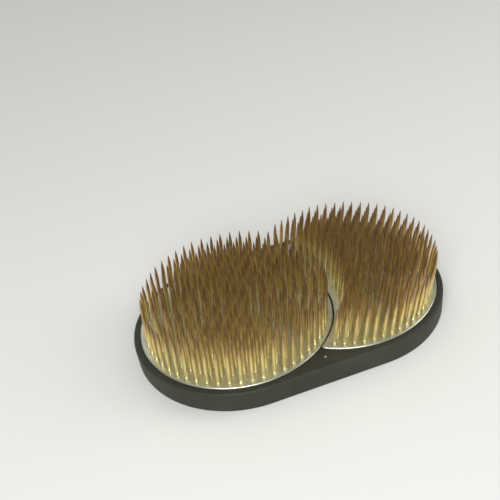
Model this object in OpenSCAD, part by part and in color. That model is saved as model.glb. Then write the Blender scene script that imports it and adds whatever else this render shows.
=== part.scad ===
// Nesting flower frog: a round and a crescent pin plate in one rubber surround.
// +X runs from the round plate to the crescent, +Z is up, and Z 0 is the table.

/* [Plates] */
// Radius of the round plate
round_r = 34.5; // [32:0.5:37]
// Outer radius of the crescent plate
crescent_r = 34.5; // [32:0.5:37]
// Distance between the centres of the two plates
plate_spacing = 41.5; // [39:0.5:46]
// Thickness of both plates
plate_t = 7; // [5:0.5:9]
// Radius of the rounded top edge of a plate
edge_r = 0.6; // [0.4:0.1:1.6]
// Gap between the round plate and the crescent's hollow side
nest_gap = 0.3; // [0.3:0.1:1]
// Width cut off each horn of the crescent, which makes its tip blunt
horn_trim = 0.5; // [0.2:0.1:1.5]

/* [Rubber surround] */
// Height of the surround
rubber_h = 8; // [6:0.5:10]
// Thickness of its wall at both ends
wall_t = 2.2; // [1.6:0.1:4]
// Thickness of the lip under the plates
lip_t = 1.5; // [1:0.1:2.5]
// How far the lip reaches in under the plates
lip_w = 3.5; // [2:0.5:6]
// Clearance between a plate and the wall around it
seat_gap = 0.1; // [0.1:0.05:0.3]
// Diameter of the moulding gate's mark on the web between the plates
gate_d = 1; // [0.6:0.1:1.6]
// How far the gate's mark stands up
gate_h = 0.25; // [0.1:0.05:0.4]

/* [Pins] */
// Diameter of a pin
pin_d = 1.35; // [1:0.05:1.8]
// Height of the pins above the plate
pin_h = 15; // [11:0.5:18]
// Length of the pointed end
tip_l = 5; // [3:0.5:7]
// Diameter of the flat at the very tip
tip_d = 0.16; // [0.1:0.02:0.4]
// Depth of a pin in the plate
root_l = 4; // [3:0.5:4.5]
// Number of rings of pins around the middle one of the round plate
round_rings = 9; // [7:1:9]
// Number of rings of pins around the middle one of the crescent
crescent_rings = 10; // [8:1:10]
// How many more pins a ring has than the ring inside it
ring_step = 6; // [5:1:6]
// Turn of the round plate's rings, in degrees
round_turn = -5; // [-15:1:15]
// Turn of the crescent's rings, in degrees
crescent_turn = -11; // [-15:1:15]
// Distance from the plate's edge to the outermost ring of pins
rim_inset = 2.4; // [2:0.1:3.5]
// Width of the crescent's bare strip along its hollow side
bare_strip = 2.2; // [2:0.1:5]
// Outward lean of the round plate's outermost pins, in degrees
round_fan = 0.5; // [0:0.5:4]
// Lean of all the round plate's pins towards the crescent, in degrees
round_lean = 3; // [0:0.5:4]
// Outward lean of the crescent's outermost pins, in degrees
crescent_fan = 2; // [0:0.5:4]
// Lean of all the crescent's pins away from the round plate, in degrees
crescent_lean = 8; // [0:0.5:9]
// Largest chance error in a pin's lean, in degrees
lean_error = 0.8; // [0:0.1:1.2]
// Largest chance error in a pin's height
height_error = 0.15; // [0:0.05:0.3]

/* [Hidden] */
$fn = 96;
pin_fn = 24;
eps = 0.01;

// Overall outline, which is centred on X 0
round_out_r = round_r + seat_gap + wall_t;
crescent_out_r = crescent_r + seat_gap + wall_t;
overall_l = round_out_r + plate_spacing + crescent_out_r;
round_x = round_out_r - overall_l / 2;
crescent_x = round_x + plate_spacing;

// Heights
plate_top = lip_t + plate_t;

// Crescent
hollow_r = round_r + nest_gap;
// Where the crescent's outer and hollow circles cross, measured from the crescent's centre
horn_x = (hollow_r * hollow_r - crescent_r * crescent_r - plate_spacing * plate_spacing)
    / (2 * plate_spacing);
horn_y = sqrt(crescent_r * crescent_r - horn_x * horn_x);

// Every pin on the crescent is at least this far from the round plate's centre
clear_r = hollow_r + bare_strip;

function ring_name(plate, n) = str(plate, "_pins_ring_", n < 10 ? "0" : "", n);

// Places of the pins of ring n of a plate, measured from its centre. Ring 1 is the innermost.
function ring_places(n, rings, plate_r, turn) =
    let (count = ring_step * n, r = (plate_r - rim_inset) * n / rings)
    [for (k = [0:count - 1]) let (t = turn + 360 * k / count) r * [cos(t), sin(t)]];

// The places on the crescent that are clear of its bare strip
function on_crescent(places) = [
    for (p = places) if (norm([p.x + plate_spacing, p.y]) >= clear_r) p
];

// One pin, upright, with its foot in the plate and its point up
module pin(height) {
    r = pin_d / 2;
    rotate_extrude($fn = pin_fn)
        polygon([[0, -root_l], [r, -root_l], [r, height - tip_l], [tip_d / 2, height], [0, height]]);
}

// Pins at the given places around a plate's centre, each leaning outwards by the fan angle
// times its share of the plate's radius, and all leaning towards +X by the lean angle
module pins(places, centre_x, plate_r, fan, lean, seed) {
    errors = rands(-1, 1, 3 * len(places), seed);
    for (k = [0:len(places) - 1]) {
        p = places[k];
        tilt = fan * p / plate_r + [lean, 0] + lean_error * [errors[3 * k], errors[3 * k + 1]];
        translate([centre_x + p.x, p.y, plate_top])
            rotate(a = norm(tilt), v = [-tilt.y, tilt.x, 0])
                pin(pin_h + height_error * errors[3 * k + 2]);
    }
}

// A disc with a rounded top edge and a small chamfer under it
module plate_disc(r) {
    chamfer = 0.6;
    rotate_extrude() {
        square([r - edge_r, plate_t]);
        translate([r - edge_r - eps, chamfer]) square([edge_r + eps, plate_t - edge_r - chamfer]);
        polygon([[r - edge_r - eps, 0], [r - chamfer, 0], [r, chamfer], [r - edge_r - eps, chamfer]]);
        translate([r - edge_r, plate_t - edge_r]) circle(edge_r, $fn = 48);
    }
}

// The outline of the surround: a circle at each end, joined along their outer tangents
module outline(left_r, right_r) {
    slope = asin((left_r - right_r) / plate_spacing);
    normal = [sin(slope), cos(slope)];
    down = [normal.x, -normal.y];
    left = [round_x, 0];
    right = [crescent_x, 0];
    translate(left) circle(left_r);
    translate(right) circle(right_r);
    polygon([left + left_r * down, right + right_r * down, right + right_r * normal, left + left_r * normal]);
}

// The two circles that the plates fill, grown or shrunk by grow
module seats(grow) {
    translate([round_x, 0]) circle(round_r + grow);
    translate([crescent_x, 0]) circle(crescent_r + grow);
}

// Rubber surround: one wall around both plates, a lip under them and a gate mark on the web
module rubber_ring() {
    web_x = round_x + plate_spacing * 0.5;
    web_y = -(horn_y + round_out_r) / 2;
    color([0.25, 0.25, 0.23]) {
        difference() {
            linear_extrude(rubber_h) outline(round_out_r, crescent_out_r);
            translate([0, 0, lip_t]) linear_extrude(rubber_h) seats(seat_gap);
            translate([0, 0, -eps]) linear_extrude(rubber_h) seats(-lip_w);
        }
        translate([web_x, web_y, rubber_h - eps]) cylinder(d = gate_d, h = gate_h + eps, $fn = 32);
    }
}

// Round cast plate
module round_plate() {
    color([0.72, 0.73, 0.70]) translate([round_x, 0, lip_t]) plate_disc(round_r);
}

// Crescent cast plate: a disc with a circular bite that the round plate nests in
module crescent_plate() {
    hollow_chamfer = 0.3;
    color([0.72, 0.73, 0.70])
        translate([crescent_x, 0, lip_t])
            difference() {
                plate_disc(crescent_r);
                translate([-plate_spacing, 0, -eps]) cylinder(r = hollow_r, h = plate_t + 2 * eps);
                translate([-plate_spacing, 0, plate_t - hollow_chamfer])
                    cylinder(r1 = hollow_r, r2 = hollow_r + hollow_chamfer + eps, h = hollow_chamfer + eps);
                translate([horn_x + horn_trim - crescent_r, -crescent_r, -eps])
                    cube([crescent_r, 2 * crescent_r, plate_t + 2 * eps]);
            }
}

// Brass pins of the round plate, standing at the given places
module round_pins(places, seed) {
    color([0.72, 0.58, 0.30]) pins(places, round_x, round_r, round_fan, round_lean, seed);
}

// Brass pins of the crescent, standing at the given places
module crescent_pins(places, seed) {
    color([0.72, 0.58, 0.30]) pins(places, crescent_x, crescent_r, crescent_fan, crescent_lean, seed);
}

// One ring of pins on the round plate, from the innermost to the one at its edge
module round_pins_ring(n) {
    round_pins(ring_places(n, round_rings, round_r, round_turn), 100 + n);
}

// One ring of pins on the crescent, as far as it is clear of the bare strip
module crescent_pins_ring(n) {
    crescent_pins(on_crescent(ring_places(n, crescent_rings, crescent_r, crescent_turn)), 200 + n);
}

// The single pin in the middle of each plate's rings
module round_pin_centre() {
    round_pins([[0, 0]], 100);
}

module crescent_pin_centre() {
    crescent_pins([[0, 0]], 200);
}

rubber_ring();
round_plate();
crescent_plate();
round_pin_centre();
crescent_pin_centre();
for (n = [1:round_rings])
    round_pins_ring(n);
for (n = [1:crescent_rings])
    crescent_pins_ring(n);
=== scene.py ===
# %% [markdown]
# # A nesting flower frog
# A flower frog, or kenzan, is a heavy metal plate full of upright brass pins. It stands in a shallow
# vase, and the stems are pushed onto the pins. This one is a pair: a round plate nests in the hollow
# side of a crescent plate, and one dark rubber surround holds both.
#
# The CAD model already fixes every size and place. It is loaded first, as a frame that nothing here
# moves. Then each piece is modelled again around it, with the finer shape and the finish that a
# plain solid doesn't have.

# %% Load the frame
import math
import random

import bmesh
import bpy
from mathutils import Matrix, Vector


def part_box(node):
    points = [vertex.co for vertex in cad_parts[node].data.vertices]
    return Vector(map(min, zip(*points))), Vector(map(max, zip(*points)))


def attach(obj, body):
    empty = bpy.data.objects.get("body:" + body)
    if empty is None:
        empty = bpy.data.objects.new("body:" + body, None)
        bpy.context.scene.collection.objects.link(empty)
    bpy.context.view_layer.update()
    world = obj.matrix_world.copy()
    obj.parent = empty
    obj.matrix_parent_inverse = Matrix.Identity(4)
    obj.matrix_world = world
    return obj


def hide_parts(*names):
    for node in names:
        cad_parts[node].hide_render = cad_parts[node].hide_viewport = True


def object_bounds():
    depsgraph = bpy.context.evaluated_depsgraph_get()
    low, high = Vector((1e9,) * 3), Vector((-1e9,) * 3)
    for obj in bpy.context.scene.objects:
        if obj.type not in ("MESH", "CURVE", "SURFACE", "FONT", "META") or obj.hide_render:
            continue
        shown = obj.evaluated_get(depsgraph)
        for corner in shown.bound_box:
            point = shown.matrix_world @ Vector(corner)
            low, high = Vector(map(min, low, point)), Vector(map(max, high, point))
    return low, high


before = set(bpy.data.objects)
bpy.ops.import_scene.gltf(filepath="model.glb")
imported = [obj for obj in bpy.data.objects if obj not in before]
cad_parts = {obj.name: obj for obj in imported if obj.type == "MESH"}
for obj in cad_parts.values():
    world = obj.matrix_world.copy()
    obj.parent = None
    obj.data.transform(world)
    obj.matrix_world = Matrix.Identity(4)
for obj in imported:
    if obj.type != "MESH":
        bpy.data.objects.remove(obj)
cad_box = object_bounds()
mm = 0.001
print("CAD nodes:", len(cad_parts))
print("CAD box, mm:", [round((high - low) / mm, 1) for low, high in zip(*cad_box)])

# %% [markdown]
# ## Measure the frame
# Every outline of this object is made of circles: one for the round plate, one for the crescent's
# outer edge and one for its hollow side. Their centres and radii come from the boxes of the CAD
# nodes, so nothing has to be typed in twice. The few small sizes that a box doesn't show, such as
# the gap around a plate, are named here.

# %% Circles and heights
surround_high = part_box("rubber_ring")[1]
round_low, round_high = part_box("round_plate")
crescent_low, crescent_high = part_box("crescent_plate")

seat_gap = 0.1 * mm       # between a plate and the wall around it
nest_gap = 0.3 * mm       # between the round plate and the crescent's hollow side
gate_h = 0.25 * mm        # how far the gate mark stands up from the surround
lip_w = 3.5 * mm          # how far the surround's lip reaches in under the plates

plate_r = (round_high.x - round_low.x) / 2
hollow_r = plate_r + nest_gap
round_c = Vector(((round_high.x + round_low.x) / 2, 0, 0))
crescent_c = Vector((crescent_high.x - (crescent_high.y - crescent_low.y) / 2, 0, 0))
spacing = crescent_c.x - round_c.x
plate_bottom, plate_top = round_low.z, round_high.z
surround_r = surround_high.y
surround_h = surround_high.z - gate_h
print(f"plates: radius {plate_r / mm:.2f} mm, {spacing / mm:.2f} mm apart, top at {plate_top / mm:.2f} mm")
print(f"surround: end radius {surround_r / mm:.2f} mm, height {surround_h / mm:.2f} mm")

# %% [markdown]
# ## Turn a bmesh into a piece
# Each piece is built in a bmesh, which is Blender's mesh while it is being edited. This helper
# closes the work: it welds doubles, turns the normals outwards and puts the mesh in an object at the
# origin, so the piece's place is in its vertices. Curved surfaces are made of small faces and are
# shaded smooth, and a flat face with many corners stays flat.

# %% A helper that finishes a piece
def finish_piece(name, bm, material, weld=0.001 * mm):
    bmesh.ops.remove_doubles(bm, verts=bm.verts, dist=weld)
    bmesh.ops.recalc_face_normals(bm, faces=bm.faces)
    for face in bm.faces:
        face.smooth = len(face.verts) <= 4
    mesh = bpy.data.meshes.new(name)
    bm.to_mesh(mesh)
    bm.free()
    mesh.materials.append(material)
    piece = bpy.data.objects.new(name, mesh)
    bpy.context.collection.objects.link(piece)
    print(f"{name}: {len(mesh.polygons)} faces")
    return piece

# %% [markdown]
# ## Node helpers
# A material is a graph of nodes. These helpers keep the graphs below short: one adds a node with
# its settings and plugs in its inputs, one makes noise at a real size, and one makes a colour ramp.

# %% Helpers for materials
def new_material(name):
    material = bpy.data.materials.new(name)
    material.use_nodes = True
    nodes = material.node_tree.nodes
    return material, material.node_tree, nodes["Principled BSDF"]


def add_node(tree, kind, inputs=None, **settings):
    node = tree.nodes.new(kind)
    for key, value in settings.items():
        setattr(node, key, value)
    for key, value in (inputs or {}).items():
        if isinstance(value, bpy.types.NodeSocket):
            tree.links.new(value, node.inputs[key])
        else:
            node.inputs[key].default_value = value
    return node


def object_point(tree, stretch=(1, 1, 1)):
    point = add_node(tree, "ShaderNodeTexCoord").outputs["Object"]
    return add_node(tree, "ShaderNodeMapping", {"Vector": point, "Scale": stretch}).outputs["Vector"]


def noise(tree, point, size, detail=3.0, roughness=0.5):
    """Noise whose blotches are about size metres across."""
    inputs = {"Vector": point, "Scale": 1 / size, "Detail": detail, "Roughness": roughness}
    return add_node(tree, "ShaderNodeTexNoise", inputs).outputs["Fac"]


def ramp(tree, factor, stops):
    node = add_node(tree, "ShaderNodeValToRGB", {"Fac": factor})
    elements = node.color_ramp.elements
    while len(elements) < len(stops):
        elements.new(0.5)
    for element, (position, colour) in zip(elements, stops):
        element.position = position
        element.color = (*colour, 1)
    return node.outputs["Color"]


def span(tree, factor, low, high, from_low=0.3, from_high=0.7):
    """Stretches a factor's middle range to low..high."""
    inputs = {"Value": factor, "From Min": from_low, "From Max": from_high, "To Min": low, "To Max": high}
    return add_node(tree, "ShaderNodeMapRange", inputs).outputs["Result"]


def mix_colour(tree, factor, a, b, blend="MIX"):
    node = add_node(tree, "ShaderNodeMix", data_type="RGBA", blend_type=blend)
    for index, value in ((0, factor), (6, a), (7, b)):
        if isinstance(value, bpy.types.NodeSocket):
            tree.links.new(value, node.inputs[index])
        elif index:
            node.inputs[index].default_value = (*value, 1)
        else:
            node.inputs[index].default_value = value
    return node.outputs[2]


def arithmetic(tree, operation, a, b):
    return add_node(tree, "ShaderNodeMath", {0: a, 1: b}, operation=operation).outputs["Value"]


def bump(tree, shader, height, distance, strength=1.0):
    inputs = {"Height": height, "Distance": distance, "Strength": strength}
    tree.links.new(add_node(tree, "ShaderNodeBump", inputs).outputs["Normal"], shader.inputs["Normal"])

# %% [markdown]
# ## Brass for the pins
# The pins are cut from drawn brass wire. Their colour is painted bright and pale gold low down and
# brown towards the points. This is painted light and shade, standing in for the pale floor mirrored
# in the lower shafts and the shade and dark reflections on the points. Each vertex of a pin carries
# two numbers: `height`, which is 0 at the plate and 1 at the point, and `chance`, which is one number
# per pin. The colour follows the height, which paints that light and shade, and the chance makes some
# pins browner than their neighbours.

# %% Brass
def brass_material():
    material, tree, shader = new_material("drawn_brass_painted_shade")
    height = add_node(tree, "ShaderNodeAttribute", attribute_name="height").outputs["Fac"]
    chance = add_node(tree, "ShaderNodeAttribute", attribute_name="chance").outputs["Fac"]
    blotches = noise(tree, object_point(tree), 2.5 * mm, 2)
    streaks = noise(tree, object_point(tree, (1, 1, 0.08)), 0.25 * mm, 3)
    shifted = arithmetic(tree, "ADD", height, span(tree, chance, -0.07, 0.07, 0, 1))
    shifted = arithmetic(tree, "ADD", shifted, span(tree, blotches, -0.06, 0.06))
    # The ramp by height is painted light and shade: pale gold low down as a painted reflection of the
    # floor, brown towards the points as painted shade.
    brass_and_painted_shade = ramp(tree, shifted, [(0.0, (0.94, 0.81, 0.36)), (0.3, (0.88, 0.73, 0.31)),
                                (0.58, (0.70, 0.52, 0.22)), (0.72, (0.46, 0.31, 0.15)),
                                (0.9, (0.28, 0.17, 0.095))])
    brass_and_painted_shade = mix_colour(tree, span(tree, streaks, 0, 0.3), brass_and_painted_shade, (0.42, 0.31, 0.15))
    tree.links.new(brass_and_painted_shade, shader.inputs["Base Color"])
    tree.links.new(span(tree, streaks, 0.28, 0.46), shader.inputs["Roughness"])
    shader.inputs["Metallic"].default_value = 0.86
    bump(tree, shader, streaks, 0.02 * mm, 0.5)
    return material


brass = brass_material()
print("material:", brass.name)

# %% [markdown]
# ## Cast alloy for the plates
# The plates are cast from a tin and lead alloy, which is what makes them heavy enough to hold a
# branch. It is a pale grey metal with a satin skin. Close up it is a little cloudy, with small dark
# pits where gas escaped while it set. Wide noise gives the clouds, fine noise gives the skin, and
# the centres of a Voronoi pattern, kept where they are very close, give the pits.

# %% Cast alloy
def alloy_material():
    material, tree, shader = new_material("cast_alloy")
    point = object_point(tree)
    clouds = noise(tree, point, 9 * mm, 4)
    skin = noise(tree, point, 0.5 * mm, 4)
    cells = add_node(tree, "ShaderNodeTexVoronoi", {"Vector": point, "Scale": 1 / (2.4 * mm)})
    pits = span(tree, cells.outputs["Distance"], 1, 0, 0.05, 0.16)
    colour = ramp(tree, clouds, [(0.3, (0.38, 0.40, 0.33)), (0.7, (0.52, 0.54, 0.46))])
    colour = mix_colour(tree, arithmetic(tree, "MULTIPLY", pits, 0.75), colour, (0.10, 0.10, 0.09))
    tree.links.new(colour, shader.inputs["Base Color"])
    tree.links.new(span(tree, skin, 0.28, 0.44), shader.inputs["Roughness"])
    shader.inputs["Metallic"].default_value = 1.0
    height = arithmetic(tree, "SUBTRACT", arithmetic(tree, "MULTIPLY", skin, 0.5), pits)
    bump(tree, shader, height, 0.06 * mm, 0.6)
    return material


alloy = alloy_material()
print("material:", alloy.name)

# %% [markdown]
# ## Moulded rubber
# The surround is plain black rubber, softened to charcoal by handling and by lime from the water.
# Rubber reflects little, so its roughness is high, and a fine grain from the mould breaks up the
# highlight.

# %% Rubber
def rubber_material(name="moulded_rubber", dark=(0.022, 0.0225, 0.016), light=(0.036, 0.037, 0.027)):
    material, tree, shader = new_material(name)
    point = object_point(tree)
    dust = noise(tree, point, 14 * mm, 5, 0.6)
    grain = noise(tree, point, 0.35 * mm, 2)
    tree.links.new(ramp(tree, dust, [(0.35, dark), (0.7, light)]), shader.inputs["Base Color"])
    tree.links.new(span(tree, dust, 0.50, 0.66), shader.inputs["Roughness"])
    shader.inputs["Specular IOR Level"].default_value = 0.3
    bump(tree, shader, grain, 0.03 * mm, 0.5)
    return material


rubber = rubber_material()
print("material:", rubber.name)

# %% [markdown]
# ## Outlines as loops
# The surround is a section swept round an outline, but its outside and its inside aren't the same
# outline. Outside, two half circles are joined by straight sides. Inside, two circles meet in a
# cusp. So it is made from loops that have the same number of edges, one above or inside the other,
# and bridged. An arc is a single vertex that is spun, and a straight stretch is an edge that is cut
# into equal parts.

# %% Arcs, lines and loops
half_steps = 64      # edges in a half circle
flank_steps = 16     # edges from the end of the half circle to the middle of the object


def at_angle(centre, radius, degrees, z):
    angle = math.radians(degrees)
    return Vector((centre.x + radius * math.cos(angle), radius * math.sin(angle), z))


def arc(bm, centre, radius, start, end, steps, z):
    vertex = bm.verts.new(at_angle(centre, radius, start, z))
    bmesh.ops.spin(bm, geom=[vertex], cent=centre, axis=(0, 0, 1), steps=steps,
                   angle=math.radians(end - start))


def line(bm, a, b, steps):
    edge = bm.edges.new((bm.verts.new(a), bm.verts.new(b)))
    if steps > 1:
        bmesh.ops.subdivide_edges(bm, edges=[edge], cuts=steps - 1)


def welded_loop(bm, draw):
    """Draws one closed loop with draw(), welds its ends and returns its edges."""
    old = set(bm.edges)
    draw()
    new_verts = {v for e in bm.edges if e not in old for v in e.verts}
    bmesh.ops.remove_doubles(bm, verts=list(new_verts), dist=0.002 * mm)
    return [e for e in bm.edges if e not in old]


def wall_loop(bm, grow, z):
    """The surround's outer outline, grown by grow, at height z."""
    radius = surround_r + grow
    middle = (round_c.x + crescent_c.x) / 2

    def draw():
        arc(bm, round_c, radius, 90, 270, half_steps, z)
        arc(bm, crescent_c, radius, -90, 90, half_steps, z)
        for y in (-radius, radius):
            line(bm, (round_c.x, y, z), (middle, y, z), flank_steps)
            line(bm, (middle, y, z), (crescent_c.x, y, z), flank_steps)
    return welded_loop(bm, draw)


def seat_loop(bm, grow, z):
    """The two circles that the plates fill, grown by grow, at height z."""
    radius = plate_r + grow
    cusp = math.degrees(math.acos(spacing / 2 / radius))

    def draw():
        arc(bm, round_c, radius, cusp, 90, flank_steps, z)
        arc(bm, round_c, radius, 90, 270, half_steps, z)
        arc(bm, round_c, radius, 270, 360 - cusp, flank_steps, z)
        arc(bm, crescent_c, radius, cusp - 180, -90, flank_steps, z)
        arc(bm, crescent_c, radius, -90, 90, half_steps, z)
        arc(bm, crescent_c, radius, 90, 180 - cusp, flank_steps, z)
    return welded_loop(bm, draw)


def bridge(bm, loops, closed):
    following = loops[1:] + loops[:1] if closed else loops[1:]
    for a, b in zip(loops, following):
        bmesh.ops.bridge_loops(bm, edges=a + b)

# %% [markdown]
# ## The rubber surround
# The section runs from the lip's inner edge along the underside, up the outside, over a rounded top
# edge, and down the inside to the lip again. The outside leans in a little towards the table, as a
# moulded part does so that it leaves its mould. The flat faces fall by a hair: two loops with the
# same centre could be bridged the wrong way round, and a small difference in height prevents that.

# %% Surround
def surround_piece():
    top_round = 0.7 * mm
    foot_round = 0.4 * mm
    inner_round = 0.15 * mm
    lip_chamfer = 0.2 * mm
    draft = 0.2 * mm
    fall = 0.04 * mm
    inner_top = surround_h - fall
    foot_middle = 0.3 * foot_round    # where the rounded foot passes between its two ends
    bm = bmesh.new()
    loops = [seat_loop(bm, -lip_w, lip_chamfer), seat_loop(bm, -lip_w + lip_chamfer, fall)]
    loops += [wall_loop(bm, -draft - foot_round, 0)]
    loops += [wall_loop(bm, -draft - foot_middle, foot_middle)]
    loops += [wall_loop(bm, -draft, foot_round)]
    for angle in (0, 22.5, 45, 67.5, 90):
        turn = math.radians(angle)
        inset = top_round * (1 - math.cos(turn))
        loops.append(wall_loop(bm, -inset, surround_h - top_round * (1 - math.sin(turn))))
    for angle in (90, 45, 0):
        turn = math.radians(angle)
        grow = seat_gap + inner_round * (1 - math.cos(turn))
        loops.append(seat_loop(bm, grow, inner_top - inner_round * (1 - math.sin(turn))))
    loops += [seat_loop(bm, seat_gap, plate_bottom), seat_loop(bm, -lip_w, plate_bottom - fall)]
    bridge(bm, loops, closed=True)
    return finish_piece("surround", bm, rubber)


surround = surround_piece()
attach(surround, "surround")
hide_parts("rubber_ring")

# %% [markdown]
# ## The gate mark
# A small nub stands on the front web. It is taken to be the mark of the gate, where the rubber
# entered the mould. It is a short cone whose top edge is bevelled, and its pale colour is a painted
# highlight: a glint painted into its rubber.

# %% Gate mark
def gate_piece():
    radius = 0.5 * mm
    top_bevel = 0.08 * mm
    cusp_y = math.sqrt(plate_r ** 2 - (spacing / 2) ** 2)
    web_x, web_y = (round_c.x + crescent_c.x) / 2, -(cusp_y + surround_r) / 2
    place = Vector((web_x, web_y, surround_h + gate_h / 2))
    bm = bmesh.new()
    bmesh.ops.create_cone(bm, cap_ends=True, segments=20, radius1=radius, radius2=0.6 * radius,
                          depth=gate_h, matrix=Matrix.Translation(place))
    top_edges = [e for e in bm.edges if all(v.co.z > place.z for v in e.verts)]
    bmesh.ops.bevel(bm, geom=top_edges, offset=top_bevel, segments=2, profile=0.5, affect="EDGES",
                    material=-1)
    # The nub's pale rubber colour is a painted highlight, a glint painted into the material.
    glint_colour_rubber = rubber_material("rubber_painted_glint", (0.20, 0.20, 0.18), (0.34, 0.34, 0.30))
    return finish_piece("gate_mark", bm, glint_colour_rubber)


gate_mark = gate_piece()
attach(gate_mark, "surround")

# %% [markdown]
# ## The round plate
# A cast disc is a turned shape, so its side is drawn as a chain of edges and spun once round. The
# two open ends are then filled with one flat face each. The top edge is a quarter circle, which
# catches the bright line of light that runs along the front of the plate.

# %% Round plate
edge_r = 0.6 * mm         # radius of a plate's top edge
foot_chamfer = 0.6 * mm   # chamfer under a plate
edge_steps = 6            # faces across the rounded edge


def round_plate_piece():
    bm = bmesh.new()
    side = [(foot_chamfer, plate_bottom), (0, plate_bottom + foot_chamfer)]
    for k in range(edge_steps + 1):
        turn = math.radians(90 * k / edge_steps)
        side.append((edge_r * (1 - math.cos(turn)), plate_top - edge_r * (1 - math.sin(turn))))
    chain = [bm.verts.new((round_c.x + plate_r - inset, 0, z)) for inset, z in side]
    for a, b in zip(chain, chain[1:]):
        bm.edges.new((a, b))
    bmesh.ops.spin(bm, geom=bm.verts[:] + bm.edges[:], cent=round_c, axis=(0, 0, 1),
                   angle=math.radians(360), steps=2 * half_steps, use_merge=True)
    bmesh.ops.holes_fill(bm, edges=[e for e in bm.edges if e.is_boundary], sides=0)
    return finish_piece("round_plate_cast", bm, alloy)


round_plate = round_plate_piece()
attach(round_plate, "round_frog")
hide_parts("round_plate")

# %% [markdown]
# ## The crescent plate
# The crescent can't be spun, because its outline is two arcs that meet in horns. So its outline is
# drawn again at each height, a little smaller where the edge is rounded, and the outlines are
# bridged. Each horn is cut off square, as on the casting. Where the smaller outlines meet before
# they reach that cut, they are cut at the place where they meet.

# %% Crescent plate
horn_trim = 0.5 * mm       # how much is cut off each horn
horn_min = 0.02 * mm       # how far inside the meeting point a horn is cut at the least
hollow_round = 0.3 * mm    # radius of the top edge along the hollow side
hollow_foot = 0.3 * mm     # chamfer under the hollow side


def crescent_loop(bm, outer_inset, hollow_inset, z):
    outer, inner = plate_r - outer_inset, hollow_r + hollow_inset

    def meeting_x(outer, inner):
        return crescent_c.x + (inner ** 2 - outer ** 2 - spacing ** 2) / (2 * spacing)

    cut_x = max(meeting_x(plate_r, hollow_r) + horn_trim, meeting_x(outer, inner) + horn_min)
    horn = math.degrees(math.acos((cut_x - crescent_c.x) / outer))
    mouth = math.degrees(math.acos((cut_x - round_c.x) / inner))

    def draw():
        arc(bm, crescent_c, outer, -horn, horn, 2 * half_steps, z)
        arc(bm, round_c, inner, mouth, -mouth, half_steps, z)
        for side in (-1, 1):
            outer_end = at_angle(crescent_c, outer, side * horn, z)
            line(bm, outer_end, at_angle(round_c, inner, side * mouth, z), 1)
    return welded_loop(bm, draw)


def crescent_plate_piece():
    bm = bmesh.new()
    loops = [crescent_loop(bm, foot_chamfer, hollow_foot, plate_bottom)]
    loops += [crescent_loop(bm, 0, 0, plate_bottom + foot_chamfer)]
    for k in range(edge_steps + 1):
        turn = math.radians(90 * k / edge_steps)
        inset, drop = 1 - math.cos(turn), 1 - math.sin(turn)
        loops.append(crescent_loop(bm, edge_r * inset, hollow_round * inset, plate_top - edge_r * drop))
    bridge(bm, loops, closed=False)
    for loop in (loops[0], loops[-1]):
        bmesh.ops.contextual_create(bm, geom=loop)
    return finish_piece("crescent_plate_cast", bm, alloy)


crescent_plate = crescent_plate_piece()
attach(crescent_plate, "crescent_frog")
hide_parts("crescent_plate")

# %% [markdown]
# ## Read where the pins stand
# Every pin leans a little, and no two lean alike, so a pin's place is read from its own CAD solid.
# A CAD node arrives as loose triangles. A copy of it is welded, which joins each pin into one
# island, and the island's lowest and highest rings of vertices give the two ends of its axis.

# %% Read the pins of a CAD node
foot_band = 0.5 * mm     # vertices this near the lowest one belong to the foot
tip_band = 0.05 * mm     # vertices this near the highest one belong to the point


def islands(bm):
    """Groups of vertices that edges join."""
    waiting = set(bm.verts)
    for start in bm.verts:
        if start not in waiting:
            continue
        waiting.discard(start)
        group, reached = [start], [start]
        while reached:
            for edge in reached.pop().link_edges:
                for vertex in edge.verts:
                    if vertex in waiting:
                        waiting.discard(vertex)
                        group.append(vertex)
                        reached.append(vertex)
        yield group


def mean_point(points):
    return sum(points, Vector()) / len(points)


def read_pins(node):
    """(foot, point) of each pin in a CAD node, from left to right and front to back."""
    bm = bmesh.new()
    bm.from_mesh(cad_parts[node].data)
    bmesh.ops.remove_doubles(bm, verts=bm.verts, dist=0.001 * mm)
    pins = []
    for group in islands(bm):
        places = [v.co.copy() for v in group]
        low = min(p.z for p in places)
        high = max(p.z for p in places)
        foot = mean_point([p for p in places if p.z < low + foot_band])
        point = mean_point([p for p in places if p.z > high - tip_band])
        pins.append((foot, point))
    bm.free()
    return sorted(pins, key=lambda pin: (round(pin[0].x / mm, 2), round(pin[0].y / mm, 2)))


pin_nodes = sorted(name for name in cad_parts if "_pin" in name)
pins_of = {name: read_pins(name) for name in pin_nodes}
print("pins:", sum(len(pins) for pins in pins_of.values()), "in", len(pin_nodes), "nodes")

# %% [markdown]
# ## One pin, many times
# There are hundreds of pins, so one pin is only a few dozen faces: ten sides, one long band for the
# shaft and short bands for the point, which is drawn out in a slight curve and not a plain cone. It
# is made once, by spinning half a section round Z and filling its two ends, with its `height` stored
# on each vertex. Then it is copied onto each axis, stretched to the pin's length and turned by a
# chance angle, and each copy gets its own `chance`.

# %% Pattern of one pin
pin_r = 0.675 * mm
pin_sides = 10
root = 4 * mm             # length of a pin inside its plate
point_length = 5.2 * mm
# Fractions of the way down the point, and of the pin's radius there
point_shape = [(0, 0.14), (0.25, 0.44), (0.6, 0.80), (1, 1)]


def spun(bm, section):
    """Spins a chain of (radius, height) round Z."""
    chain = [bm.verts.new((x, 0, z)) for x, z in section]
    for a, b in zip(chain, chain[1:]):
        bm.edges.new((a, b))
    bmesh.ops.spin(bm, geom=bm.verts[:] + bm.edges[:], cent=(0, 0, 0), axis=(0, 0, 1),
                   angle=math.radians(360), steps=pin_sides, use_merge=True)


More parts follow.
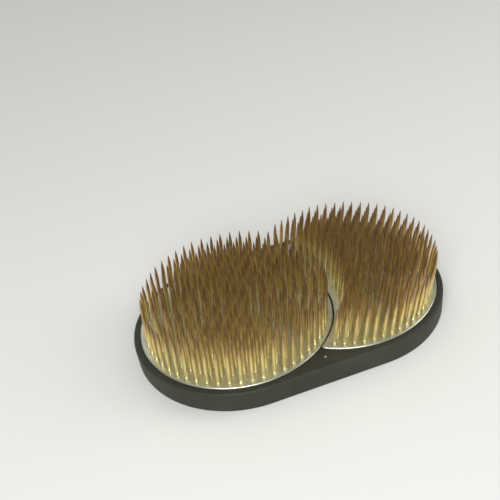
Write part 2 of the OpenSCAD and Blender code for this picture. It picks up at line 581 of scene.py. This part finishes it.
def pin_pattern(length):
    bm = bmesh.new()
    section = [(share * pin_r, length - down * point_length) for down, share in point_shape]
    spun(bm, section + [(pin_r, 0)])
    ends = bmesh.ops.holes_fill(bm, edges=[e for e in bm.edges if e.is_boundary], sides=0)["faces"]
    for end in ends:
        for edge in end.edges:
            edge.smooth = False
    height = bm.verts.layers.float.new("height")
    for vertex in bm.verts:
        vertex[height] = (vertex.co.z - root) / (length - root)
    mesh = bpy.data.meshes.new("pin_pattern")
    bm.to_mesh(mesh)
    bm.free()
    return mesh


first_foot, first_point = pins_of[pin_nodes[0]][0]
pattern_length = (first_point - first_foot).length
pattern = pin_pattern(pattern_length)
print(f"one pin: {len(pattern.polygons)} faces, {pattern_length / mm:.1f} mm long")

# %% Copy the pattern onto every axis
def along(foot, point, turn):
    """The placing of an upright pattern at a foot, turned about itself and leaning to a point."""
    lean = (point - foot).to_track_quat("Z", "Y").to_matrix().to_4x4()
    return Matrix.Translation(foot) @ lean @ Matrix.Rotation(turn, 4, "Z")


def pins_piece(node, dice):
    bm = bmesh.new()
    bm.verts.layers.float.new("chance")
    for foot, point in pins_of[node]:
        first = len(bm.verts)
        bm.from_mesh(pattern)
        chance = bm.verts.layers.float["chance"]
        bm.verts.ensure_lookup_table()
        new = bm.verts[first:]
        own = dice.random()
        for vertex in new:
            vertex[chance] = own
        stretch = Matrix.Diagonal((1, 1, (point - foot).length / pattern_length, 1))
        placing = along(foot, point, dice.uniform(0, math.tau)) @ stretch
        bmesh.ops.transform(bm, matrix=placing, verts=new)
    return finish_piece(node + "_brass", bm, brass, weld=0.0001 * mm)


dice = random.Random(7)
for node in pin_nodes:
    pins = pins_piece(node, dice)
    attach(pins, "round_frog" if node.startswith("round") else "crescent_frog")
    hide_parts(node)

# %% [markdown]
# ## Collars round the feet
# The foot of each pin has a bright spot round it. It is modelled as a small collar of alloy that
# crept up the pin before it set. A collar is a band of two rings of faces, spun round Z like the pin
# and then placed on the pin's own axis.

# %% Collars
def collar_pattern():
    bm = bmesh.new()
    spun(bm, [(1.0 * mm, -0.04 * mm), (0.8 * mm, 0.06 * mm), (0.68 * mm, 0.25 * mm)])
    mesh = bpy.data.meshes.new("collar_pattern")
    bm.to_mesh(mesh)
    bm.free()
    return mesh


def collars_piece(name, nodes, pattern, dice):
    bm = bmesh.new()
    for node in nodes:
        for foot, point in pins_of[node]:
            share = (plate_top - foot.z) / (point.z - foot.z)
            place = foot.lerp(point, share)
            first = len(bm.verts)
            bm.from_mesh(pattern)
            bm.verts.ensure_lookup_table()
            size = Matrix.Diagonal((1, 1, dice.uniform(0.6, 1.3), 1))
            matrix = along(place, point, dice.uniform(0, math.tau)) @ size
            bmesh.ops.transform(bm, matrix=matrix, verts=bm.verts[first:])
    return finish_piece(name, bm, alloy, weld=0.0001 * mm)


collar = collar_pattern()
for plate in ("round", "crescent"):
    nodes = [name for name in pin_nodes if name.startswith(plate)]
    collars = collars_piece(plate + "_collars", nodes, collar, dice)
    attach(collars, plate + "_frog")

# %% [markdown]
# ## Floor, light and camera
# A plain pale floor and soft light, as in a small studio: a wide lamp in front on the left, a
# weaker one on the right and a soft one behind. Upright brass pins mirror whatever is low in front of
# them, so the pale floor helps make the front ones bright, and the inner ones mirror each other and
# darken. The gold low down and the brown towards the points are also painted into the brass colour,
# as painted light and shade.

# %% Floor
def floor_piece():
    bm = bmesh.new()
    bmesh.ops.create_grid(bm, x_segments=1, y_segments=1, size=3)
    material, _, shader = new_material("pale_floor")
    shader.inputs["Base Color"].default_value = (0.74, 0.74, 0.71, 1)
    shader.inputs["Roughness"].default_value = 0.9
    return finish_piece("floor", bm, material)


floor = floor_piece()

# %% Light
def soft_lamp(name, place, size, power, aim):
    lamp = bpy.data.lights.new(name, "AREA")
    lamp.shape = "RECTANGLE"
    lamp.size, lamp.size_y = size
    lamp.energy = power
    holder = bpy.data.objects.new(name, lamp)
    bpy.context.collection.objects.link(holder)
    holder.location = place
    holder.rotation_euler = (Vector(aim) - Vector(place)).to_track_quat("-Z", "Y").to_euler()
    print(f"lamp {name}: {power} W")


middle = (cad_box[0] + cad_box[1]) / 2
soft_lamp("key", (-0.25, -0.55, 0.38), (0.5, 0.35), 4.5, middle)
soft_lamp("fill", (0.6, -0.15, 0.4), (0.4, 0.4), 1.6, middle)
soft_lamp("back", (-0.1, 0.7, 0.6), (0.6, 0.3), 0.5, middle)

world = bpy.data.worlds.new("studio")
world.use_nodes = True
world.node_tree.nodes["Background"].inputs["Color"].default_value = (1.0, 0.99, 0.97, 1)
world.node_tree.nodes["Background"].inputs["Strength"].default_value = 0.5
bpy.context.scene.world = world

# %% Camera
def place_camera(target, azimuth, elevation, roll, distance, lens, shift):
    camera = bpy.data.objects.new("camera", bpy.data.cameras.new("camera"))
    bpy.context.collection.objects.link(camera)
    a, e = math.radians(azimuth), math.radians(elevation)
    back = Vector((math.sin(a) * math.cos(e), -math.cos(a) * math.cos(e), math.sin(e)))
    camera.location = target + back * distance
    level = (-back).to_track_quat("-Z", "Y")
    camera.rotation_euler = (level.to_matrix() @ Matrix.Rotation(math.radians(roll), 3, "Z")).to_euler()
    camera.data.lens = lens
    camera.data.shift_x, camera.data.shift_y = shift
    camera.data.clip_start = 0.01
    bpy.context.scene.camera = camera
    print(f"camera: {lens} mm lens, {distance / mm:.0f} mm away")


look_at = Vector((round_c.x + 38.3 * mm, 45.8 * mm, plate_top))
place_camera(look_at, azimuth=-17.8, elevation=33.7, roll=-6, distance=0.3136, lens=53.9,
             shift=(-0.08, -0.05))
bpy.context.scene.view_settings.view_transform = "Standard"
